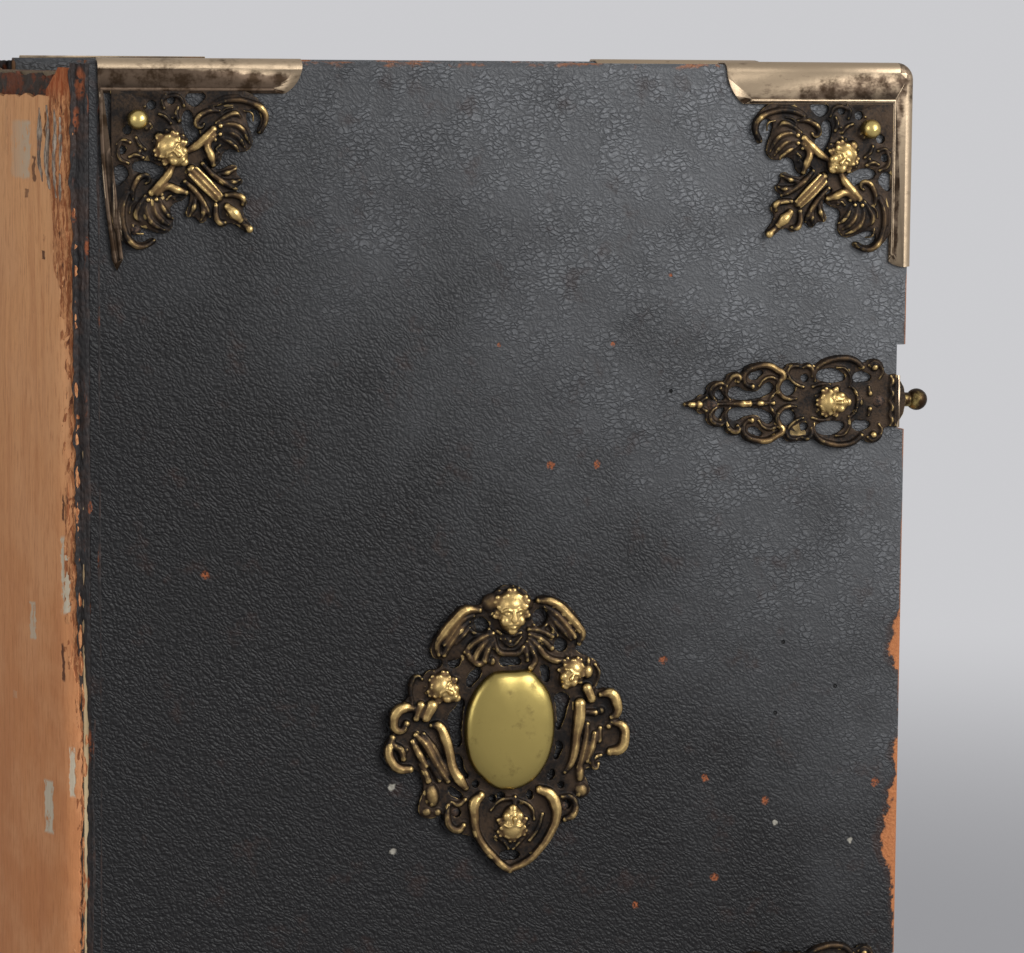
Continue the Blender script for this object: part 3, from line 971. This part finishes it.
# the catch, from where its axis meets the fore edge: across to the right, up
# the lower side mirrors the upper
catch = {
    "outline": [(-71.0, 0.0), (-68.8, 1.1), (-67.3, 1.6), (-65.8, 2.9), (-63.8, 3.1), (-63.6, 5.0),
                (-61.8, 6.8), (-58.8, 7.2), (-57.9, 7.2), (-56.8, 9.0), (-53.8, 9.9), (-52.4, 9.5),
                (-51.2, 11.2), (-46.8, 12.6), (-42.8, 12.5), (-40.2, 11.0), (-38.5, 10.5), (-37.2, 11.9),
                (-34.2, 12.2), (-32.7, 11.9), (-30.2, 12.2), (-28.7, 11.5), (-25.8, 13.2), (-19.8, 14.5),
                (-14.8, 13.8), (-11.8, 11.9), (-10.7, 12.7), (-8.2, 13.1), (-5.8, 11.6), (-5.1, 9.2),
                (-4.2, 8.2), (-0.9, 7.9)],
    "windows": [[(-60.7, 3.6), (-59.4, 4.3), (-58.3, 3.0), (-57.7, 1.4), (-59.1, 1.3), (-60.6, 2.4)],
                [(-56.2, 4.3), (-54.3, 5.3), (-50.8, 4.0), (-47.0, 3.8), (-44.6, 6.0), (-42.9, 6.4),
                 (-41.7, 4.6), (-44.6, 2.2), (-48.8, 1.3), (-53.8, 1.2), (-56.2, 2.2)],
                [(-50.0, 8.0), (-47.4, 9.9), (-45.2, 9.7), (-46.4, 8.0), (-48.0, 7.2)],
                [(-27.6, 8.9), (-24.8, 10.3), (-20.2, 9.6), (-18.2, 7.2), (-20.8, 6.0), (-25.2, 6.3),
                 (-27.6, 7.4)],
                [(-15.2, 8.6), (-10.9, 8.7), (-9.6, 7.0), (-12.6, 6.0), (-15.4, 6.4)]],
    "holes": [(-36.9, 4.6, 2.5), (-31.6, 7.5, 1.3)],
    "ribs": [
        [(-48.9, 5.2, 0.9), (-50.6, 5.6, 0.6), (-51.6, 7.6, 0.7), (-51.0, 9.6, 0.8), (-47.6, 11.3, 0.9),
         (-43.8, 11.6, 1.1), (-40.9, 10.2, 1.1), (-38.8, 8.4, 1.1), (-39.8, 6.8, 1.0), (-40.6, 4.4, 0.9),
         (-39.4, 2.4, 0.8), (-37.0, 1.2, 0.8), (-34.4, 1.2, 0.4)],
        [(-46.6, 5.4, 0.4), (-45.2, 7.2, 0.5), (-42.9, 8.0, 0.6), (-41.0, 7.4, 0.5)],
        [(-56.0, 1.2, 0.4), (-57.3, 2.8, 0.45), (-57.2, 5.2, 0.55), (-56.1, 7.6, 0.8), (-54.6, 8.6, 0.9),
         (-53.1, 8.0, 0.9), (-53.5, 6.9, 0.7)],
        [(-60.4, 1.0, 0.4), (-61.9, 2.2, 0.6), (-62.4, 4.0, 0.7), (-61.2, 5.7, 0.8), (-58.9, 6.3, 0.7),
         (-57.6, 5.6, 0.4)],
        [(-65.2, 1.2, 0.5), (-63.8, 2.0, 0.6)], [(-37.5, 9.3, 0.5), (-36.6, 10.8, 0.6), (-34.4, 11.3, 0.6),
                                                 (-32.9, 10.8, 0.4)],
        [(-37.5, 9.3, 0.45), (-36.2, 7.1, 0.5), (-33.7, 5.3, 0.55), (-32.1, 4.8, 0.5)],
        [(-32.3, 10.9, 0.5), (-30.5, 11.2, 0.8), (-29.3, 10.1, 0.7), (-29.2, 8.0, 0.45)],
        [(-28.3, 6.6, 0.4), (-28.2, 9.4, 0.6), (-26.7, 11.4, 0.8), (-22.7, 13.1, 0.95), (-18.7, 13.5, 0.95),
         (-15.2, 12.6, 0.9), (-12.7, 10.6, 0.8)],
        [(-21.0, 10.6, 0.4), (-18.6, 10.3, 0.45), (-17.0, 8.5, 0.45), (-16.4, 6.2, 0.45), (-16.9, 4.6, 0.4)],
        [(-10.5, 11.2, 0.5), (-8.8, 12.2, 0.6), (-6.8, 11.0, 0.6), (-5.9, 9.0, 0.5), (-6.8, 7.2, 0.4)],
        [(-10.4, 4.3, 0.5), (-10.0, 2.4, 0.8)], [(-43.0, 1.0, 0.4), (-42.2, 2.2, 0.55), (-41.4, 3.2, 0.35)],
        [(-29.0, 4.8, 0.5), (-26.2, 5.6, 0.6), (-23.4, 5.4, 0.5)],
        [(-16.6, 5.0, 0.45), (-14.7, 3.0, 0.55), (-14.0, 0.0, 0.55)],
        [(-3.4, 0.2, 0.6), (-2.6, 2.2, 0.8), (-3.3, 4.2, 0.6), (-2.6, 6.0, 0.8), (-3.1, 7.6, 0.5)],
        [(-1.4, 0.0, 0.45), (-1.4, 7.6, 0.45)]],
    "axis": [[(-70.2, 0.0, 0.4), (-69.0, 0.0, 1.0), (-67.9, 0.0, 1.0)],
             [(-60.0, 0.0, 0.5), (-56.0, 0.0, 0.6), (-53.8, 0.0, 0.9), (-52.0, 0.0, 1.3),
              (-50.0, 0.0, 1.2)], [(-50.0, 0.0, 0.6), (-44.0, 0.0, 0.6), (-42.0, 0.0, 0.8)]],
    "lumps": [(-66.2, 0.0, 1.2, (1.6, 1.5, 1.6), 0), (-46.2, 0.0, 1.2, (1.7, 1.1, 1.5), 0),
              (-13.0, 0.0, 0.9, (1.0, 1.8, 1.0), 0)],
    "pairs": [(-8.7, 10.6, 1.2, (1.35, 1.3, 1.5), 0), (-59.1, 4.9, 1.0, (0.7, 0.6, 0.8), 0)],
    "head": (-22.6, 0.0, 4.5, 0),
    "plate": 1.2, "voxel": 0.22, "budget": 52000,
}


def catchMesh():
    c = catch
    def flip(points):
        return [(u, -v, *rest) for u, v, *rest in points]

    bm = bmesh.new()
    outline = c["outline"] + flip(c["outline"])[1:][::-1]
    addPlate(bm, outline, c["windows"] + [flip(p) for p in c["windows"]], c["holes"] + flip(c["holes"]),
             c["plate"])
    addStrands(bm, c["ribs"] + [flip(p) for p in c["ribs"]] + c["axis"], c["plate"])
    for u, v, *rest in c["lumps"] + c["pairs"]:
        addLump(bm, u, v, *rest)
    for u, v, *rest in c["pairs"]:
        addLump(bm, u, -v, *rest)
    addHead(bm, *c["head"], c["plate"])
    return castMetal(bm, c["voxel"], c["budget"], facing(1, 1, 133.25, 289.3))


strap = catchMesh()
web = bmMesh(cadCopy("catch_upper", [((0.1325, 0, 0), (-1, 0, 0))]))
for level, shells in (("upper", [strap, web]), ("lower", [reflect(strap, "Z"), reflect(web, "Z")])):
    finishPiece("catch" + level.title(), shells, [catchBrass, rimBrass], "front_cover", "catch_" + level)
print("catches cast")


# Spine and joints
backCentre = 2.657
backRadius = 147.307
spine = {
    # the round back, then the turn to the joint: lengths, and the control points of the turn
    "arc": 62.7, "turn": 10.8, "turnPoints": [(-131.5, 60.8), (-128.9, 66.6), (-124.0, 67.8)],
    "head": 382.3, "tail": 7.6, "thick": 2.1, "acrossSteps": 96, "upSteps": 300,
    # ragged edge of the tan skin at the front joint: height, x
    "edge": [(7, -125.2), (60, -124.6), (130, -125.0), (160, -124.9), (193, -124.4), (211, -125.4),
             (216, -127.3), (224, -126.6), (240, -126.4), (300, -127.0), (326, -127.3), (333, -128.8),
             (345, -128.8), (355, -129.4), (358, -131.8), (378, -132.6), (379.4, -130.4), (384, -130.2)],
    "rearEdge": [(7, -126.2), (90, -127.4), (180, -126.4), (260, -128.2), (340, -127.0), (384, -129.0)],
    # edge of the black skin that is left over the joint
    "blackEdge": [(1, -124.4), (130, -123.8), (160, -123.6), (193, -123.0), (211, -124.0), (229, -124.9),
                  (250, -125.0), (323, -125.7), (341, -125.6), (358, -126.3), (378, -126.0), (392, -126.6)],
    "splinters": [[(-133.0, 378.6, 0.5), (-132.8, 372.0, 1.0), (-133.0, 364.0, 0.9), (-132.4, 357.6, 0.4)],
                  [(-131.4, 379.4, 0.4), (-131.2, 371.0, 0.9), (-131.5, 363.0, 1.0), (-131.0, 355.6, 0.5)],
                  [(-129.8, 379.0, 0.5), (-129.6, 370.0, 0.8), (-129.9, 362.0, 0.8), (-129.4, 353.0, 0.4)],
                  [(-128.4, 376.0, 0.4), (-128.2, 366.0, 0.7), (-128.4, 357.0, 0.6), (-128.2, 350.0, 0.3)]],
}


def reading(table, at):
    # straight-line reading of a table of (height, value)
    for (lowAt, low), (highAt, high) in zip(table, table[1:]):
        if at <= highAt:
            share = max(0.0, (at - lowAt) / (highAt - lowAt))
            return low + (high - low) * share
    return table[-1][1]


def backPath(length):
    # outside of the spine skin, measured from its middle towards the front joint
    side = 1 if length < 0 else -1
    length = abs(length)
    if length <= spine["arc"]:
        angle = math.pi - length / backRadius
        return backCentre + backRadius * math.cos(angle), side * backRadius * math.sin(angle)
    u = min(1.3, (length - spine["arc"]) / spine["turn"])
    weights = ((1 - u) ** 2, 2 * u * (1 - u), u * u)
    x = sum(weight * place[0] for weight, place in zip(weights, spine["turnPoints"]))
    y = sum(weight * place[1] for weight, place in zip(weights, spine["turnPoints"]))
    return x, side * y


def pathTo(x):
    low, high = 0.0, 76.0
    for _ in range(30):
        middle = (low + high) / 2
        if backPath(middle)[0] < x:
            low = middle
        else:
            high = middle
    return low


def rough(*at):
    return noise.noise(Vector(at))


def gridSheet(acrossSteps, upSteps, shape, inward):
    # a sheet laid out by shape(share across, share up) and extruded by inward(place), both in millimetres
    bm = bmesh.new()
    bmesh.ops.create_grid(bm, x_segments=acrossSteps, y_segments=upSteps, size=0.5)
    for vert in bm.verts:
        vert.co = Vector(shape(vert.co.x + 0.5, vert.co.y + 0.5)) / 1000
    added = bmesh.ops.extrude_face_region(bm, geom=bm.faces[:], use_keep_orig=True)
    for part in added["geom"]:
        if isinstance(part, bmesh.types.BMVert):
            part.co += Vector(inward(part.co * 1000)) / 1000
    bmesh.ops.recalc_face_normals(bm, faces=bm.faces)
    return bm


def towardsLeaves(thick):
    def inward(place):
        away = Vector((place.x - backCentre, place.y, 0.0)).normalized()
        return away * -thick
    return inward


def skinShape(across, up):
    z = spine["tail"] + (spine["head"] - spine["tail"]) * up
    tear = rough(3.0, 0.0, z * 0.16) + rough(9.0, 0.0, z * 0.7) * 0.45
    tear += rough(5.0, 0.0, z * 2.1) * 0.18
    front = pathTo(reading(spine["edge"], z) + tear)
    rear = pathTo(reading(spine["rearEdge"], z) + rough(21.0, 0.0, z * 0.3) * 1.4)
    length = -rear + (front + rear) * across
    x, y = backPath(length)
    nearEdge = max(0.0, 1 - (front - length) / 5.0)
    dent = rough(x * 0.03, y * 0.05, z * 0.02) * 0.6 + rough(7.0, y * 0.2, z * 0.05) * 0.15 - 0.5
    dent += nearEdge * (rough(1.0, y * 0.8, z * 0.5) * 0.5 - 0.35)
    dent = min(dent, -0.02)
    away = Vector((x - backCentre, y)).normalized()
    atHead = max(0.0, up - 0.97) / 0.03
    atTail = max(0.0, 0.02 - up) / 0.02
    ragged = atHead * (rough(length * 0.25, 2.0, 0.0) * 1.4 + rough(length * 1.1, 5.0, 0.0) * 0.5)
    ragged += atTail * rough(length * 0.3, 8.0, 0.0) * 1.5
    return x + away.x * dent, y + away.y * dent, z + ragged


def tornShape(across, up):
    # the fibres left between the tan skin and the black, rising to a spike at the head
    z = 9.0 + (390.6 - 9.0) * up
    left = reading(spine["edge"], min(z, 356.0)) - 1.6
    left = left if z < 384 else left + (z - 384) * 0.42
    right = reading(spine["blackEdge"], z) + 0.7 + rough(31.0, 0.0, z * 0.5) * 0.5
    x = left + (right - left) * across
    y = backPath(pathTo(x))[1] + 1.1 - 0.5 * across
    y += rough(x * 0.9, 3.0, z * 0.22) * 0.7 + rough(x * 2.0, 6.0, z * 0.9) * 0.3
    return x, y, z + (up > 0.99) * rough(x * 0.8, 4.0, 0.0) * 1.5


def capShape(across, up):
    # what is left of the cap at the head, on the lining
    length = 2.0 + 61.0 * across
    top = 388.6 + rough(length * 0.16, 1.0, 0.0) * 2.6 + rough(length * 0.6, 2.0, 0.0) * 1.0
    z = 381.0 + (top - 381.0) * up
    angle = math.pi - length / backRadius
    out = 145.9 + rough(length * 0.3, 11.0, z * 0.3) * 0.9 + rough(length * 1.1, 12.0, z * 0.8) * 0.3
    return backCentre + out * math.cos(angle), -out * math.sin(angle), z


def makeSpine():
    skin = bmMesh(gridSheet(spine["acrossSteps"], spine["upSteps"], skinShape,
                            towardsLeaves(spine["thick"])))
    torn = bmMesh(gridSheet(12, 420, tornShape, towardsLeaves(1.0)))
    cap = bmMesh(gridSheet(70, 12, capShape, towardsLeaves(1.0)))
    bm = bmesh.new()
    splinters = []
    for points in spine["splinters"]:
        splinters.append([(x, z, r, -backPath(pathTo(x))[1] - 1.4) for x, z, r in points])
    addStrands(bm, splinters, 0.0)
    for vert in bm.verts:
        vert.co.x += rough(vert.co.x * 1.5, vert.co.y * 0.35, vert.co.z) * 0.5
    chips = bmMesh(bm)
    chips.transform(Matrix(((0.001, 0, 0, 0), (0, 0, -0.001, 0), (0, 0.001, 0, 0), (0, 0, 0, 1))))
    finishPiece("spineSkin", [skin, torn, cap, chips], [tan, tornFibre, capLeather, chipPaper],
                "text_block", "spine_leather")


joint = {
    # the strip over the joint: x from the hinge, how far it stands out
    "profile": [(0.0, -1.0), (0.12, -1.5), (0.2, -1.6), (0.34, -0.5), (0.5, 0.05), (0.62, -0.1),
                (0.76, -0.55), (0.86, -0.1), (0.94, 0.1), (1.0, -0.15)],
    # the bend runs from the block to the cover between these x and z, in metres
    "bend": [(-0.1232, 0.2), (-0.1192, 0.2)],
    "right": -117.6, "acrossSteps": 30, "upSteps": 330, "thick": 0.9,
}


def foldShape(side):
    def shape(across, up):
        z = 1.6 + (392.0 - 1.6) * up
        seed = 0.0 if side < 0 else 40.0
        left = reading(spine["blackEdge"], z) + rough(seed + 13.0, 0.0, z * 0.2) * 0.7
        left += rough(seed, 0.0, z * 0.8) * 0.35
        x = left + (joint["right"] - left) * across
        crease = rough(seed + x * 0.7, z * 0.035, 2.0) * 0.45 + rough(seed + x * 1.7, z * 0.09, 5.0) * 0.2
        crease *= 1.0 - max(0.0, across - 0.8) * 4.6
        out = 68.5 + reading(joint["profile"], across) + crease
        z += ((up > 0.99) - (up < 0.01)) * -0.4 * abs(rough(x * 0.6, 1.0, seed))
        return x, side * out, z
    return shape


def makeFolds():
    for side, name in ((-1, "front"), (1, "rear")):
        inward = Vector((0.0, -side * joint["thick"], 0.0))
        bm = gridSheet(joint["acrossSteps"], joint["upSteps"], foldShape(side), lambda place: inward)
        fold = finishPiece("jointFold" + name.title(), [bmMesh(bm)], [foldLeather], None,
                           "joint_leather_" + name)
        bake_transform(fold)


makeSpine()
makeFolds()
print("spine and joints dressed")


# Camera, floor, light
studio = {
    "eye": (-0.326417, -1.181181, 0.39789),
    "yaw": 0.292, "pitch": 0.111, "roll": 0.008,
    "lens": 135.88,
    "backdrop": (0.60, 0.60, 0.62),
    "worldStrength": 0.38,
    "keyPower": 26.0,
    "fillPower": 5.0,
}


def makeCamera():
    yaw, pitch, roll = studio["yaw"], studio["pitch"], studio["roll"]
    forward = Vector((math.sin(yaw) * math.cos(pitch), math.cos(yaw) * math.cos(pitch), -math.sin(pitch)))
    right = forward.cross(Vector((0, 0, 1))).normalized()
    up = right.cross(forward)
    tiltedRight = math.cos(roll) * right + math.sin(roll) * up
    tiltedUp = -math.sin(roll) * right + math.cos(roll) * up
    data = bpy.data.cameras.new("camera")
    data.lens = studio["lens"]
    data.sensor_width = 36.0
    data.sensor_fit = "HORIZONTAL"
    data.clip_end = 100.0
    camera = bpy.data.objects.new("camera", data)
    bpy.context.scene.collection.objects.link(camera)
    turn = Matrix((tiltedRight, tiltedUp, -forward)).transposed().to_4x4()
    camera.matrix_world = Matrix.Translation(studio["eye"]) @ turn
    bpy.context.scene.camera = camera


def areaLight(name, place, target, size, power):
    data = bpy.data.lights.new(name, "AREA")
    data.shape = "RECTANGLE"
    data.size, data.size_y = size
    data.energy = power
    light = bpy.data.objects.new(name, data)
    bpy.context.scene.collection.objects.link(light)
    aim = Vector(target) - Vector(place)
    light.matrix_world = Matrix.Translation(place) @ aim.to_track_quat("-Z", "Y").to_matrix().to_4x4()


def makeFloor():
    bm = bmesh.new()
    bmesh.ops.create_circle(bm, cap_ends=True, segments=96, radius=14.0)
    data = bpy.data.meshes.new("floor")
    bm.to_mesh(data)
    bm.free()
    floor = bpy.data.objects.new("floor", data)
    bpy.context.scene.collection.objects.link(floor)
    f = Finish("floorPaint")
    tone = studio["backdrop"] + (1.0,)
    away = f.node("VectorMath", {"operation": "LENGTH"}, {0: f.place}, 1)
    far = f.step(away, 450.0, 1500.0)
    near = f.node("BsdfPrincipled", {}, {"Base Color": tone, "Roughness": 0.9})
    rays = f.node("LightPath")
    seen = rays.socket.node.outputs
    strength = f.maths("MAXIMUM", Wire(f, seen["Is Camera Ray"]), Wire(f, seen["Is Glossy Ray"]))
    strength = studio["worldStrength"] + strength * (1.0 - studio["worldStrength"])
    glow = f.node("Emission", {}, {"Color": tone, "Strength": strength})
    both = f.node("MixShader", {}, {0: far, 1: near, 2: glow})
    f.node("OutputMaterial", {}, {"Surface": both})
    data.materials.append(f.material)


def makeWorld():
    world = bpy.data.worlds.new("studio")
    bpy.context.scene.world = world
    f = Finish("studio", world)
    seen = f.node("LightPath").socket.node.outputs
    strength = f.maths("MAXIMUM", Wire(f, seen["Is Camera Ray"]), Wire(f, seen["Is Glossy Ray"]))
    strength = f.maths("MAXIMUM", strength, Wire(f, seen["Is Transmission Ray"]))
    strength = studio["worldStrength"] + strength * (1.0 - studio["worldStrength"])
    back = f.node("Background", {}, {"Color": studio["backdrop"] + (1.0,), "Strength": strength})
    f.node("OutputWorld", {}, {"Surface": back})


makeCamera()
makeFloor()
makeWorld()
areaLight("key", (1.0, -1.35, 0.95), (0.0, 0.0, 0.22), (0.95, 0.95), studio["keyPower"])
areaLight("fill", (-1.3, -0.9, 0.7), (-0.1, 0.0, 0.2), (0.7, 0.9), studio["fillPower"])
print("camera, floor and lights set")

bpy.context.scene.view_settings.view_transform = "Standard"
